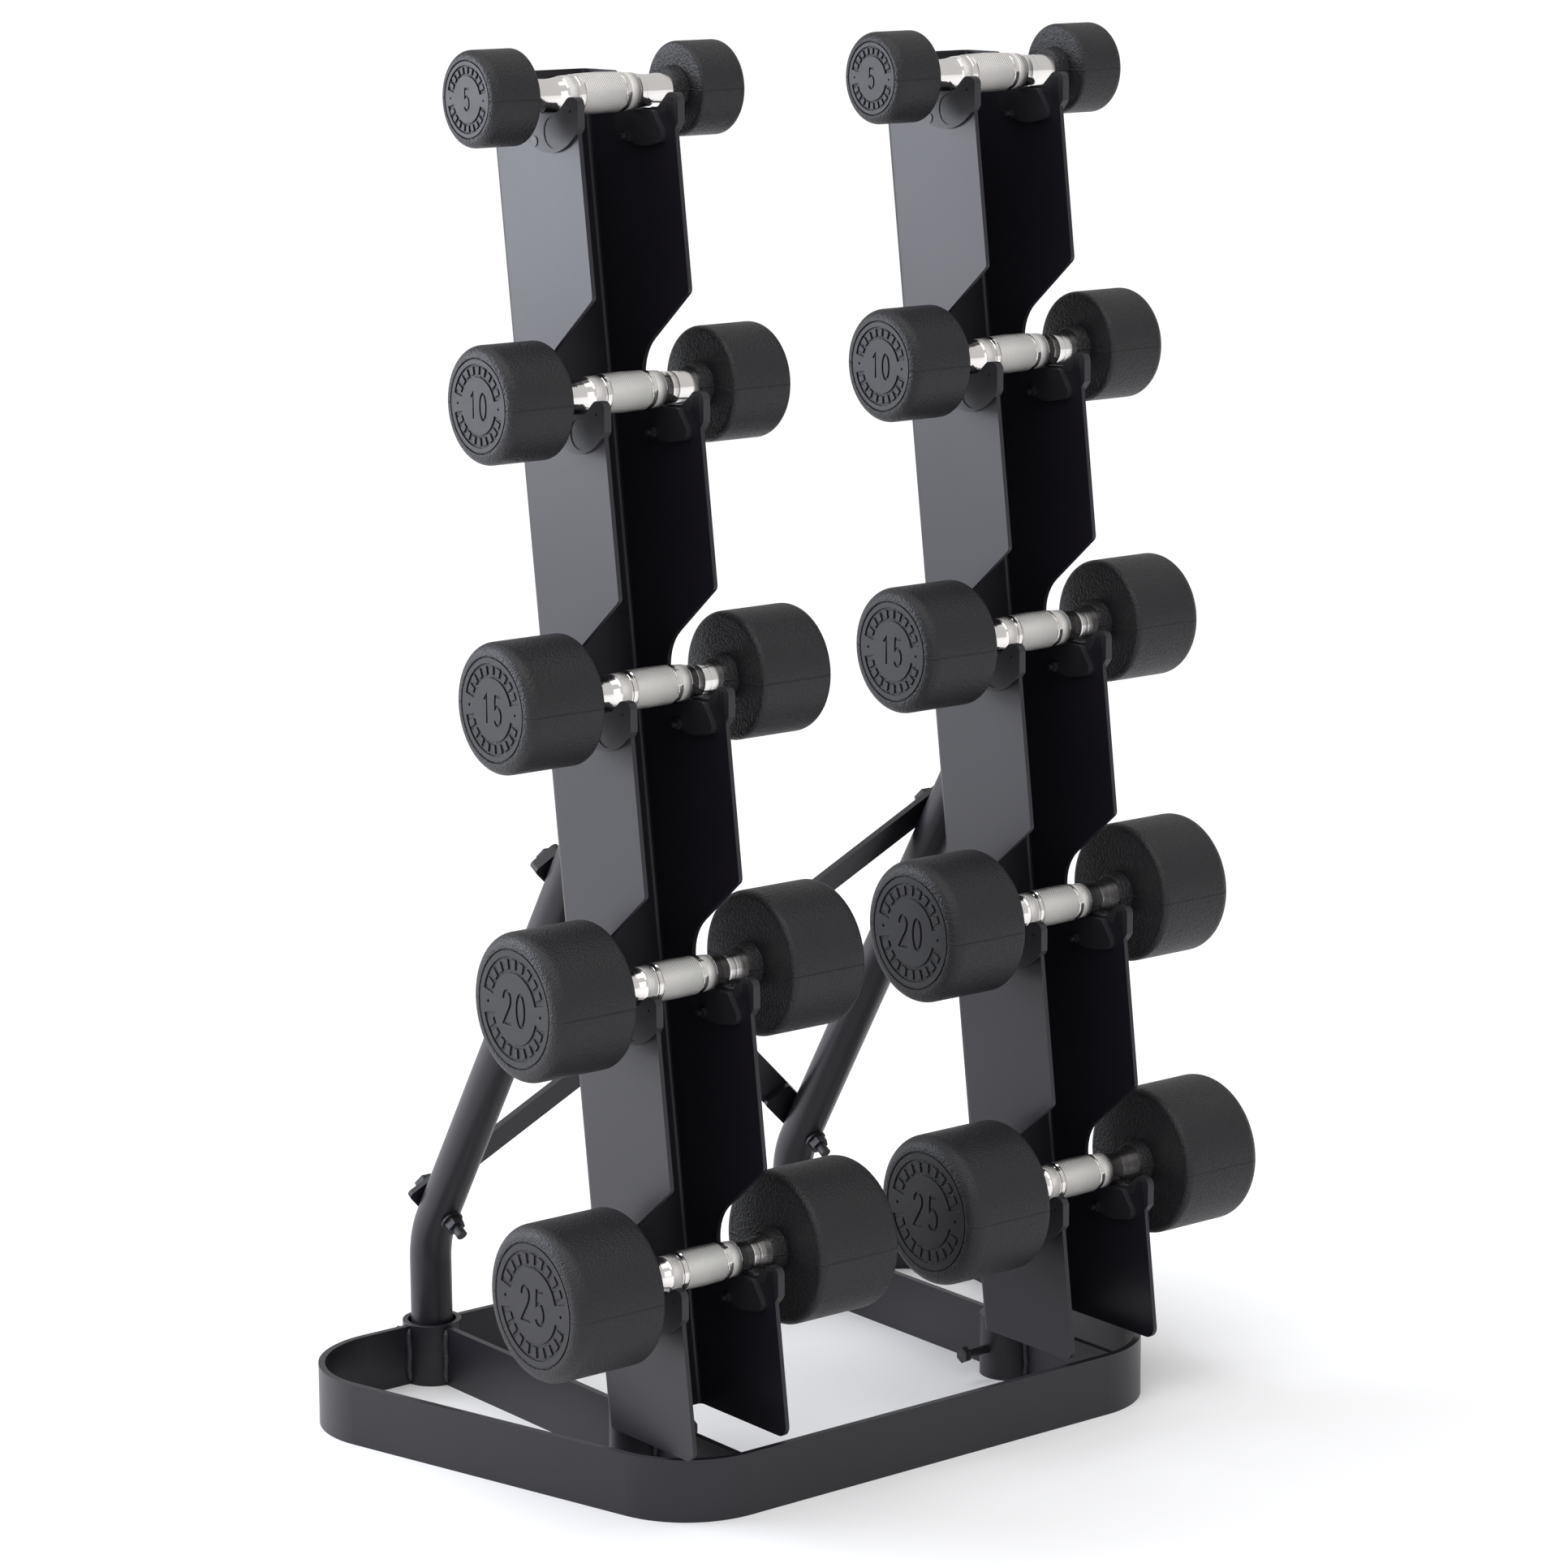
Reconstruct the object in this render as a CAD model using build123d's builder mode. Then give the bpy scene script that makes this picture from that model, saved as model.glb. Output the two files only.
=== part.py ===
"""Two-column dumbbell rack with ten urethane dumbbells, one solid or group of solids per node.

X runs along the dumbbells, -Y is the open front of the rack, +Z is up, and the rack stands on z = 0.
"""
import os
from math import atan2, cos, degrees, hypot, radians, sin, tan

from build123d import *

os.makedirs("parts", exist_ok=True)

# ---- driving dimensions (mm, degrees) --------------------------------------------------------
# levels, lowest first
level_count = 5
level_pitch = 244.0
lowest_axis_z = 205.0
lowest_axis_y = -174.0
column_lean = 7.2
lift_angle = 45.0

# columns
column_spacing = 420.0
column_width = 102.0
column_gauge = 4.0
column_bend = 8.0
column_bottom = 58.0
axis_to_web = 82.0
axis_to_front = 42.0
axis_to_throat = 34.0
top_above_axis = 15.0
tooth_rise = 82.0
tooth_cut_angle = 39.6
tooth_corner_radius = 6.0
throat_radius = 40.0
foot_corner_radius = 10.0

# saddles
saddle_radius = 51.0
saddle_center_y = -8.0
saddle_center_z = 5.0
saddle_front = 50.0
saddle_rear = 31.0
saddle_side = 3.0
saddle_pad = 6.0
saddle_fit = 0.15
seat_gap = 1.1
screw_y = 11.0
screw_z = -37.5

# dumbbells, heaviest (lowest) first
weights = [25, 20, 15, 10, 5]
head_diameters = [134.0, 126.0, 110.0, 98.0, 79.0]
head_lengths = [89.0, 81.0, 76.0, 63.0, 47.0]
head_clearance = 30.0
neck_length = 11.0
neck_swell = 4.7
grip_radius = 17.0
waist_radius = 13.3
core_skin = 11.5
face_recess = 1.4

# base
base_front_width = 536.0
base_rear_width = 796.0
base_depth = 470.0
base_corner = 87.0
bar_height = 55.0
bar_thickness = 6.0
socket_gap = 3.0
socket_wall = 5.0
socket_rise = 2.0
front_socket_y = -89.0
set_bolt_reach = 32.0
set_bolt_head = 6.0

# tubes
tube_diameter = 38.0
tube_wall = 2.5
tube_slope = 31.5
tube_bend_radius = 80.0
tube_bend_z = 137.0
post_top = 760.0
post_bend_radius = 150.0

# braces
brace_width = 30.0
brace_thickness = 5.0
brace_low_z = 168.0
brace_high_z = 504.0
brace_end = 18.0
spacer_reach = 45.0

# ---- derived ---------------------------------------------------------------------------------
lean = tan(radians(column_lean))
half_spacing = column_spacing / 2
half_width = column_width / 2
seat_depth = waist_radius + seat_gap
head_gap = column_width + 2 * head_clearance
grip_length = head_gap - 2 * neck_length
neck_radius = waist_radius + neck_swell
tube_radius = tube_diameter / 2
socket_bore = tube_diameter + 2 * socket_gap
socket_radius = socket_bore / 2 + socket_wall
socket_height = bar_height + socket_rise
rear_socket_y = base_depth / 2 - bar_thickness / 2
sides = (("left", -1), ("right", 1))
# the origin is moved to the middle of the overall depth, from the lowest heads to the rear set bolts
front_reach = lowest_axis_y - head_diameters[0] / 2
rear_reach = rear_socket_y + tube_radius + set_bolt_reach + set_bolt_head
origin_shift = Location((0, -(front_reach + rear_reach) / 2, 0))


def axis_z(level):
    return lowest_axis_z + level * level_pitch


def axis_y(z):
    """Y of the leaning line through all dumbbell axes at height z."""
    return lowest_axis_y + lean * (z - lowest_axis_z)


def near(point, reach=0.05):
    """Vertices of the open sketch at a point given in its own plane."""
    return [v for v in vertices() if hypot(v.X - point[0], v.Y - point[1]) < reach]


def save(part, label, place=Location()):
    moved = part.moved(origin_shift * place)
    moved.label = label
    export_step(moved, f"parts/{label}.step")


# ---- base ------------------------------------------------------------------------------------
def base_outline(inset):
    """Corners of the trapezoid the bar is bent to, moved inwards by inset."""
    slant = atan2((base_rear_width - base_front_width) / 2, base_depth)
    grow = inset / cos(slant)
    y_front, y_rear = -base_depth / 2 + inset, base_depth / 2 - inset
    x_front = base_front_width / 2 + inset * tan(slant) - grow
    x_rear = base_rear_width / 2 - inset * tan(slant) - grow
    return [(-x_front, y_front), (x_front, y_front), (x_rear, y_rear), (-x_rear, y_rear)]


socket_places = [(s * half_spacing, y) for _, s in sides for y in (front_socket_y, rear_socket_y)]

with BuildPart() as base_loop:
    with BuildSketch():
        Polygon(*base_outline(0), align=None)
        fillet(vertices(), base_corner)
    extrude(amount=bar_height)
    with BuildSketch():
        Polygon(*base_outline(bar_thickness), align=None)
        fillet(vertices(), base_corner - bar_thickness)
    extrude(amount=bar_height, mode=Mode.SUBTRACT)
    with Locations(*[(x, y, 0) for x, y in socket_places]):
        Cylinder(socket_radius, bar_height, align=(Align.CENTER, Align.CENTER, Align.MIN),
                 mode=Mode.SUBTRACT)
save(base_loop.part, "base_loop")

for side, s in sides:
    x = s * half_spacing
    with BuildPart() as inner_bar:
        with Locations((x, 0, 0)):
            Box(bar_thickness, base_depth, bar_height, align=(Align.CENTER, Align.CENTER, Align.MIN))
        with Locations((x, front_socket_y, 0), (x, rear_socket_y, 0)):
            Cylinder(socket_radius, bar_height, align=(Align.CENTER, Align.CENTER, Align.MIN),
                     mode=Mode.SUBTRACT)
        with BuildSketch():
            Polygon(*base_outline(bar_thickness + 0.05), align=None)
            fillet(vertices(), base_corner - bar_thickness)
        extrude(amount=bar_height, mode=Mode.INTERSECT)
    save(inner_bar.part, f"inner_bar_{side}")

    for place, y, bolt_dir in (("front", front_socket_y, (-s, 0)), ("rear", rear_socket_y, (0, 1))):
        with BuildPart() as socket:
            with Locations((x, y, 0)):
                Cylinder(socket_radius, socket_height, align=(Align.CENTER, Align.CENTER, Align.MIN))
                Cylinder(socket_bore / 2, socket_height, mode=Mode.SUBTRACT,
                         align=(Align.CENTER, Align.CENTER, Align.MIN))
            fillet(socket.edges().filter_by(GeomType.CIRCLE).group_by(Axis.Z)[-1], 0.8)
            turn = degrees(atan2(bolt_dir[1], bolt_dir[0]))
            with BuildSketch(Plane((x, y, bar_height / 2), x_dir=(0, 0, 1),
                                   z_dir=(cos(radians(turn)), sin(radians(turn)), 0))):
                Circle(4.2)
            extrude(amount=socket_radius + 1, mode=Mode.SUBTRACT)
        save(socket.part, f"{place}_socket_{side}")

# set bolts that clamp the tubes in their sockets
with BuildPart() as set_bolts:
    for _, s in sides:
        for y, direction in ((front_socket_y, (-s, 0, 0)), (rear_socket_y, (0, 1, 0))):
            start = Plane((s * half_spacing, y, bar_height / 2), x_dir=(0, 0, 1), z_dir=direction)
            with BuildSketch(start.offset(tube_radius + 0.1)):
                Circle(4.0)
            extrude(amount=set_bolt_reach)
            with BuildSketch(start.offset(tube_radius + set_bolt_reach)):
                RegularPolygon(radius=7.5, side_count=6)
            extrude(amount=set_bolt_head)
save(set_bolts.part, "set_bolts")


# ---- tubes -----------------------------------------------------------------------------------
slope = tan(radians(tube_slope))
post_line = axis_to_web + (tube_radius + 0.15) / cos(radians(column_lean))


def rear_tube_y(z):
    return rear_socket_y - slope * (z - tube_bend_z)


def post_y(z):
    return axis_y(z) + post_line


def slant_plane(x, z, offset):
    """Plane behind the rear tubes; its z axis points backwards and up, square to the tubes."""
    plane = Plane((x, rear_tube_y(z), z), x_dir=(1, 0, 0),
                  z_dir=(0, cos(radians(tube_slope)), sin(radians(tube_slope))))
    return plane.offset(offset)


post_bend_z = lowest_axis_z + (front_socket_y - post_line - lowest_axis_y) / lean
join_z = (rear_tube_y(0) - post_y(0)) / (slope + lean)


def tube_along(x, points, radius, bend):
    """A round bar of the given radius swept along points with one bend."""
    with BuildPart() as bar:
        with BuildLine(Plane.YZ.offset(x)):
            FilletPolyline(*points, radius=bend)
        start = Plane((x, points[0][0], points[0][1]), x_dir=(1, 0, 0), z_dir=(0, 0, 1))
        with BuildSketch(start):
            Circle(radius)
        sweep()
    return bar.part


for side, s in sides:
    x = s * half_spacing
    post_path = [(front_socket_y, 3), (front_socket_y, post_bend_z), (post_y(post_top), post_top)]
    tube_path = [(rear_socket_y, 3), (rear_socket_y, tube_bend_z), (rear_tube_y(join_z), join_z)]
    with BuildPart() as front_post:
        add(tube_along(x, post_path, tube_radius, post_bend_radius))
        add(tube_along(x, post_path, tube_radius - tube_wall, post_bend_radius), mode=Mode.SUBTRACT)
    save(front_post.part, f"front_post_{side}")

    with BuildPart() as rear_tube:
        add(tube_along(x, tube_path, tube_radius, tube_bend_radius))
        add(tube_along(x, tube_path, tube_radius - tube_wall, tube_bend_radius), mode=Mode.SUBTRACT)
        add(tube_along(x, post_path, tube_radius + 0.1, post_bend_radius), mode=Mode.SUBTRACT)
        # the low bolt goes right through, the high one only through the rear wall
        for z, front_wall in ((brace_low_z, tube_radius + 5), (brace_high_z, 0)):
            with BuildSketch(slant_plane(x, z, tube_radius + 5)):
                Circle(5.2)
            extrude(amount=-(tube_radius + 5 + front_wall), mode=Mode.SUBTRACT)
    save(rear_tube.part, f"rear_tube_{side}")

with BuildPart() as post_caps:
    for _, s in sides:
        top = Plane((s * half_spacing, post_y(post_top), post_top), x_dir=(1, 0, 0),
                    z_dir=(0, sin(radians(column_lean)), cos(radians(column_lean))))
        with BuildSketch(top.offset(0.1)):
            Circle(tube_radius)
        extrude(amount=3)
        with BuildSketch(top.offset(0.1)):
            Circle(tube_radius - tube_wall - 0.1)
        extrude(amount=-12)
save(post_caps.part, "post_caps")

# cleats that fill the crevice between a post and the flat back of its column
with BuildPart() as column_cleats:
    for _, s in sides:
        for z in (170.0, 420.0, 700.0):
            web = Plane((s * half_spacing, axis_y(z) + axis_to_web, z), x_dir=(1, 0, 0),
                        z_dir=(0, cos(radians(column_lean)), -sin(radians(column_lean))))
            with BuildSketch(web.offset(0.1)):
                Rectangle(46, 40)
            extrude(amount=13.9)
    for _, s in sides:
        post_path = [(front_socket_y, 3), (front_socket_y, post_bend_z), (post_y(post_top), post_top)]
        add(tube_along(s * half_spacing, post_path, tube_radius + 0.1, post_bend_radius),
            mode=Mode.SUBTRACT)
save(column_cleats.part, "column_cleats")


# ---- braces ----------------------------------------------------------------------------------
brace_mid_z = (brace_low_z + brace_high_z) / 2
brace_rise = (brace_high_z - brace_low_z) / cos(radians(tube_slope))
brace_angle = degrees(atan2(brace_rise, column_spacing))
brace_length = hypot(brace_rise, column_spacing) + 2 * brace_end


def brace(offset, angle, name):
    with BuildPart() as bar:
        with BuildSketch(slant_plane(0, brace_mid_z, offset)):
            with Locations(Rotation(0, 0, angle)):
                RectangleRounded(brace_length, brace_width, 5)
                with Locations((-brace_length / 2 + brace_end, 0), (brace_length / 2 - brace_end, 0)):
                    Circle(5.2, mode=Mode.SUBTRACT)
        extrude(amount=brace_thickness)
    save(bar.part, name)


layer_one = tube_radius + 0.1
layer_two = layer_one + brace_thickness + 0.1
brace(layer_one, -brace_angle, "brace_a")
brace(layer_two, brace_angle, "brace_b")

with BuildPart() as brace_spacers:
    for s, z, angle in ((1, brace_low_z, brace_angle), (-1, brace_high_z, brace_angle)):
        with BuildSketch(slant_plane(s * half_spacing, z, layer_one)):
            with Locations(Rotation(0, 0, angle) * Location((s * (brace_end - spacer_reach) / 2, 0))):
                RectangleRounded(brace_end + spacer_reach, brace_width, 5)
            Circle(5.2, mode=Mode.SUBTRACT)
        extrude(amount=brace_thickness)
save(brace_spacers.part, "brace_spacers")

with BuildPart() as brace_bolts:
    for _, s in sides:
        for z in (brace_low_z, brace_high_z):
            two_layers = (s > 0) == (z == brace_low_z)
            back = layer_two + brace_thickness + 0.1 if two_layers else layer_one + brace_thickness + 0.1
            with BuildSketch(slant_plane(s * half_spacing, z, back)):
                Circle(11)
            extrude(amount=2)
            with BuildSketch(slant_plane(s * half_spacing, z, back + 2)):
                RegularPolygon(radius=9.8, side_count=6)
            extrude(amount=6.5)
            with BuildSketch(slant_plane(s * half_spacing, z, back + 1)):
                Circle(5.0)
            extrude(amount=-(back + 1 + (tube_radius + 20 if z == brace_low_z else 0)))
save(brace_bolts.part, "brace_bolts")

with BuildPart() as brace_nuts:
    for _, s in sides:
        with BuildSketch(slant_plane(s * half_spacing, brace_low_z, -tube_radius - 0.1)):
            Circle(10.5)
            Circle(5.1, mode=Mode.SUBTRACT)
        extrude(amount=-2)
        with BuildSketch(slant_plane(s * half_spacing, brace_low_z, -tube_radius - 2.1)):
            RegularPolygon(radius=9.0, side_count=6)
            Circle(5.1, mode=Mode.SUBTRACT)
        extrude(amount=-8)
save(brace_nuts.part, "brace_nuts")


# ---- columns ---------------------------------------------------------------------------------
def notch_points(level):
    """Cradle cut of one level in (y, z), from the hook tip to the throat, lowest to highest."""
    z0 = axis_z(level)
    y0 = axis_y(z0)
    return [(y0 - axis_to_front - lean * 4.5, z0 - 4.5), (y0 - 36.5, z0 - 4.5),
            (y0 - 32.5, z0 - seat_depth - 3.5), (y0 + axis_to_throat - lean * 16, z0 - seat_depth - 2.5)]


def column_outline():
    """Saw-tooth side view of a column in (y, z), with the vertices sorted by how they are rounded."""
    bottom = column_bottom
    top = axis_z(level_count - 1) + top_above_axis
    points = [(axis_y(bottom) + axis_to_web, bottom), (axis_y(bottom) - axis_to_front, bottom)]
    round_list = [0, foot_corner_radius]
    cut = tan(radians(tooth_cut_angle))
    for level in range(level_count):
        points += notch_points(level)
        round_list += [2.5, 2.5, 7, 7]
        if level < level_count - 1:
            corner_z = axis_z(level) + tooth_rise
            corner_y = axis_y(corner_z) - axis_to_front
            # where the sloping cut meets the throat line
            run = (axis_to_throat + axis_to_front) / (1 + cut * lean)
            points += [(corner_y + run, corner_z - cut * run), (corner_y, corner_z)]
            round_list += [throat_radius, tooth_corner_radius]
    points += [(axis_y(top) + axis_to_throat, top), (axis_y(top) + axis_to_web, top)]
    round_list += [8, 0]
    return points, round_list


def column_side():
    points, round_list = column_outline()
    with BuildSketch(Plane.YZ) as side_view:
        Polygon(*points, align=None)
        for radius in sorted(set(round_list) - {0}):
            wanted = [p for p, r in zip(points, round_list) if r == radius]
            fillet([v for p in wanted for v in near(p)], radius)
    return side_view.sketch


def channel_section(width, bend):
    """Rectangle with two rounded rear corners; its rear edge is on y = 0."""
    with BuildSketch() as section:
        Rectangle(width, 170, align=(Align.CENTER, Align.MAX))
        fillet(section.vertices().group_by(Axis.Y)[-1], bend)
    return section.sketch


column_profile = column_side()

for side, s in sides:
    x = s * half_spacing
    foot = column_bottom - 40
    with BuildPart() as column:
        # the folded channel, straight along the lean
        with BuildSketch(Plane((x, axis_y(foot) + axis_to_web, foot), x_dir=(1, 0, 0),
                               z_dir=(0, sin(radians(column_lean)), cos(radians(column_lean))))):
            add(channel_section(column_width, column_bend))
            with Locations((0, -column_gauge)):
                add(channel_section(column_width - 2 * column_gauge, column_bend - column_gauge),
                    mode=Mode.SUBTRACT)
        extrude(amount=axis_z(level_count) - foot)
        # cut to the saw-tooth side view
        extrude(column_profile.moved(Location((x, 0, 0))), half_width + 5, both=True,
                mode=Mode.INTERSECT)
        for level in range(level_count):
            z0 = axis_z(level)
            with BuildSketch(Plane.YZ.offset(x)):
                with Locations((axis_y(z0) + screw_y, z0 + screw_z)):
                    Circle(2.7)
            extrude(amount=half_width + 5, both=True, mode=Mode.SUBTRACT)
    save(column.part, f"column_{side}")


# ---- saddles ---------------------------------------------------------------------------------
def saddle(level, x, outward):
    """One saddle on the flange at x whose outer face looks along outward (+1 or -1)."""
    z0 = axis_z(level)
    y0 = axis_y(z0)
    face = x + outward * saddle_side
    plate = Plane.YZ.offset(face)
    thickness = saddle_side + column_gauge
    with BuildPart() as clip:
        with BuildSketch(plate):
            with Locations((y0 + saddle_center_y, z0 + saddle_center_z)):
                Circle(saddle_radius)
            with Locations((y0 + (saddle_rear - saddle_front) / 2, z0 - 24.5)):
                Rectangle(saddle_front + saddle_rear, 50, mode=Mode.INTERSECT)
            Polygon((y0 - 42.7, z0 + 6), (y0 - 22, z0 - seat_depth + 2), (y0, z0 - seat_depth),
                    (y0 + saddle_rear + 3, z0 - seat_depth + 2), (y0 + saddle_rear + 3, z0 + 6),
                    align=None, mode=Mode.SUBTRACT)
            hook_top = vertices().filter_by(lambda v: v.Y > z0 + 0.4 and v.X < y0 - 20).sort_by(Axis.X)
            fillet(hook_top[0], 6.5)
            hook_top = vertices().filter_by(lambda v: v.Y > z0 + 0.4 and v.X < y0 - 20).sort_by(Axis.X)
            fillet(hook_top[-1], 9)
            fillet(near((y0 - 22, z0 - seat_depth + 2)), 9)
        extrude(amount=-outward * thickness)
        # pad on the inner face of the flange, below the seat
        with BuildSketch(Plane.YZ.offset(face - outward * (thickness - 0.5))):
            pad_top = z0 - seat_depth - 0.6
            Polygon((y0 - 22, pad_top), (y0 - 39.5, z0 - 39), (y0 - 4, z0 - 45.5),
                    (y0 + 30, z0 - 35), (y0 + 30, pad_top), align=None)
            fillet(near((y0 - 22, pad_top)) + near((y0 + 30, pad_top)), 2.5)
            fillet(near((y0 - 39.5, z0 - 39)) + near((y0 + 30, z0 - 35)), 7)
            fillet(near((y0 - 4, z0 - 45.5)), 30)
        extrude(amount=-outward * (saddle_pad + 0.5))
        # slot for the flange
        with BuildSketch(Plane.YZ.offset(x + outward * saddle_fit)):
            far = 90
            hook, tip, floor, rear = notch_points(level)
            Polygon((axis_y(z0 - far) - axis_to_front - saddle_fit, z0 - far),
                    (hook[0] - saddle_fit, hook[1] + saddle_fit), (tip[0] + saddle_fit, tip[1] + saddle_fit),
                    (floor[0] + saddle_fit, floor[1] + saddle_fit),
                    (rear[0] - 7.5, rear[1] + 2 * saddle_fit),
                    (rear[0] + saddle_fit, rear[1] + 7.5), (rear[0] + far, rear[1] + 7.5),
                    (rear[0] + far, z0 - far), align=None)
            fillet(near((floor[0] + saddle_fit, floor[1] + saddle_fit)), 7)
        extrude(amount=-outward * (column_gauge + 2 * saddle_fit), mode=Mode.SUBTRACT)
        # round dimple, moulding pin hole and screw hole
        with BuildSketch(plate):
            with Locations((y0 - 15, z0 - 29)):
                Circle(13)
        extrude(amount=-outward * 0.7, mode=Mode.SUBTRACT)
        with BuildSketch(plate):
            with Locations((y0 - 39, z0 - 11)):
                Circle(1.1)
        extrude(amount=-outward * 2, mode=Mode.SUBTRACT)
        with BuildSketch(plate):
            with Locations((y0 + screw_y, z0 + screw_z)):
                Circle(2.7)
        extrude(amount=-outward * 40, mode=Mode.SUBTRACT)
        with BuildSketch(plate):
            with Locations((y0 + screw_y, z0 + screw_z)):
                Circle(4.6)
        extrude(amount=-outward * 1.5, mode=Mode.SUBTRACT)
    return clip.part


for side, s in sides:
    for level, weight in enumerate(weights):
        with BuildPart() as saddles:
            for outward in (-1, 1):
                add(saddle(level, s * half_spacing + outward * half_width, outward))
        save(saddles.part, f"saddles_{side}_{weight}")

with BuildPart() as saddle_screws:
    for _, s in sides:
        for level in range(level_count):
            z0 = axis_z(level)
            for outward in (-1, 1):
                outer = s * half_spacing + outward * (half_width + saddle_side - 1.4)
                inner = outer - outward * (saddle_side - 1.4 + column_gauge + saddle_pad)
                spot = (axis_y(z0) + screw_y, z0 + screw_z)
                with BuildSketch(Plane.YZ.offset(outer)):
                    with Locations(spot):
                        Circle(4.3)
                extrude(amount=outward * 2.2)
                with BuildSketch(Plane.YZ.offset(outer)):
                    with Locations(spot):
                        Circle(2.4)
                extrude(amount=outward * -20)
                with BuildSketch(Plane.YZ.offset(inner - outward * 0.1)):
                    with Locations(spot):
                        RegularPolygon(radius=4.6, side_count=6)
                extrude(amount=outward * -3.5)
save(saddle_screws.part, "saddle_screws")


# ---- dumbbells -------------------------------------------------------------------------------
def grip_profile():
    """Half of the contoured handle in (x, r), from the middle outwards; its waist sits on a flange."""
    end, waist = grip_length / 2, half_width
    return [(0, grip_radius), (20, grip_radius - 0.5), (20.6, grip_radius - 1.6),
            (22, grip_radius - 1.6), (22.4, grip_radius - 0.7), (25, grip_radius - 0.7),
            (25.4, grip_radius - 1.2), (waist - 14.5, grip_radius - 1.7),
            (waist - 13, waist_radius + 1.5), (waist - 7, waist_radius + 0.5), (waist, waist_radius),
            (waist + 7, waist_radius + 0.4), (waist + 13, waist_radius + 1.0), (end, waist_radius + 1.5)]


def dumbbell(weight, diameter, length, x, y, z, side):
    radius = diameter / 2
    inner = head_gap / 2
    core_radius = radius - core_skin
    core_start, core_end = inner + core_skin, inner + length - core_skin
    with BuildPart() as grip:
        half = grip_profile()
        outline = half + [(core_start, half[-1][1]), (core_start, core_radius), (core_end, core_radius),
                          (core_end, 0), (0, 0)]
        with BuildSketch(Plane.XZ):
            Polygon(*outline, align=None)
        revolve(axis=Axis.X)
        mirror(about=Plane.YZ)
    place = Location((x, y, z))
    save(grip.part, f"grip_{side}_{weight}", place)

    round_out, round_in, recess = 12 * radius / 65, 6 * radius / 65, 0.79 * radius
    with BuildPart() as heads:
        stub = half[-1][1] + 0.1
        outline = [(grip_length / 2, stub), (grip_length / 2, neck_radius - 1),
                   (grip_length / 2 + 1, neck_radius), (inner, neck_radius + 2), (inner, radius),
                   (inner + length, radius),
                   (inner + length, recess + 0.8), (inner + length - face_recess, recess),
                   (inner + length - face_recess, 0), (core_end + 0.1, 0),
                   (core_end + 0.1, core_radius + 0.1),
                   (core_start - 0.1, core_radius + 0.1), (core_start - 0.1, stub)]
        with BuildSketch(Plane.XZ) as head_section:
            Polygon(*outline, align=None)
            fillet(near((inner, radius)), round_in)
            fillet(near((inner + length, radius)), round_out)
        revolve(axis=Axis.X)
        mirror(about=Plane.YZ)
    save(heads.part, f"heads_{side}_{weight}", place)


for side, s in sides:
    for level, weight in enumerate(weights):
        z = axis_z(level)
        dumbbell(weight, head_diameters[level], head_lengths[level], s * half_spacing, axis_y(z), z, side)
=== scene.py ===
"""Dumbbell rack add-on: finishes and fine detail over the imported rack, in metres."""
from math import cos, pi, radians, sin, sqrt

import bmesh
import bpy
from bpy.props import FloatProperty, FloatVectorProperty, IntProperty, PointerProperty
from mathutils import Euler, Matrix, Vector


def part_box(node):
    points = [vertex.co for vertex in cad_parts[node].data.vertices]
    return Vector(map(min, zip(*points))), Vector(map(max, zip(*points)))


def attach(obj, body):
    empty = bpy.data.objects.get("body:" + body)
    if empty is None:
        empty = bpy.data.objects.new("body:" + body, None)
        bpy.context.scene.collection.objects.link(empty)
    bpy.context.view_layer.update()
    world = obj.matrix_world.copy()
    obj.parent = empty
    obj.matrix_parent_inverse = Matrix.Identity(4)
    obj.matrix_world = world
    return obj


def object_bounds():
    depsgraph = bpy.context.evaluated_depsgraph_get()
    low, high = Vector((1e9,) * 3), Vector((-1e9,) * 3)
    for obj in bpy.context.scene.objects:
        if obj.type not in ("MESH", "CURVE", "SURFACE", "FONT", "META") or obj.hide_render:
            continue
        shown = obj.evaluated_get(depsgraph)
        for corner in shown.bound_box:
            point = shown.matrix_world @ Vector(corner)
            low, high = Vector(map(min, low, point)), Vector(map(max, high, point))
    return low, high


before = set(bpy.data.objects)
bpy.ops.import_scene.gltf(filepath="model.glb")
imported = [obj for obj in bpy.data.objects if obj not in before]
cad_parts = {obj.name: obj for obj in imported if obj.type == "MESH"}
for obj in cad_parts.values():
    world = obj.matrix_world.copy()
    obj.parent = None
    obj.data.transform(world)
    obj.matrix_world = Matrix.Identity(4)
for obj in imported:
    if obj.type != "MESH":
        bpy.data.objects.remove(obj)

bl_info = {
    "name": "Dumbbell Rack",
    "version": (1, 0, 0),
    "blender": (4, 5, 0),
    "location": "View3D > Sidebar > Dumbbell Rack",
    "description": "Finishes and fine detail for a two-column dumbbell rack",
    "category": "Object",
}

SIDES = ("left", "right")
WEIGHTS = (25, 20, 15, 10, 5)
FACE_RECESS = 0.0014  # depth of the shallow recess in each end face
BADGE_SINK = 0.0001  # how far a badge's back lies under the recess's floor
BADGE_SHARE = 0.775  # badge radius over head radius
BADGE_BEVEL = 0.00018
BAND_INNER, BAND_OUTER = 0.62, 0.90  # sunk band's radii over badge radius
BAND_ARCS = ((14, 166), (194, 346))  # degrees
RIB_WIDTH = 0.58  # rib over rib spacing
DOT_PLACE, DOT_RADIUS = 0.76, 0.028  # over badge radius
SEAM_HALF_WIDTH = 0.0009
BEAD_SIDES = 10
BEAD_TOP_GAP = 0.002  # weld beads end this far below the floor loop's top
BEAD_FOOT = 0.003
SOCKET_GAP, BAR_GAP = 0.0009, 0.0006  # weld centre line to socket wall and to bar face
GRIP_RADIUS = 0.017  # widest part of a handle
KNURL_LIFT = 0.00006  # knurled sleeve above the handle's surface
KNURL_STEPS = 96
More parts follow.
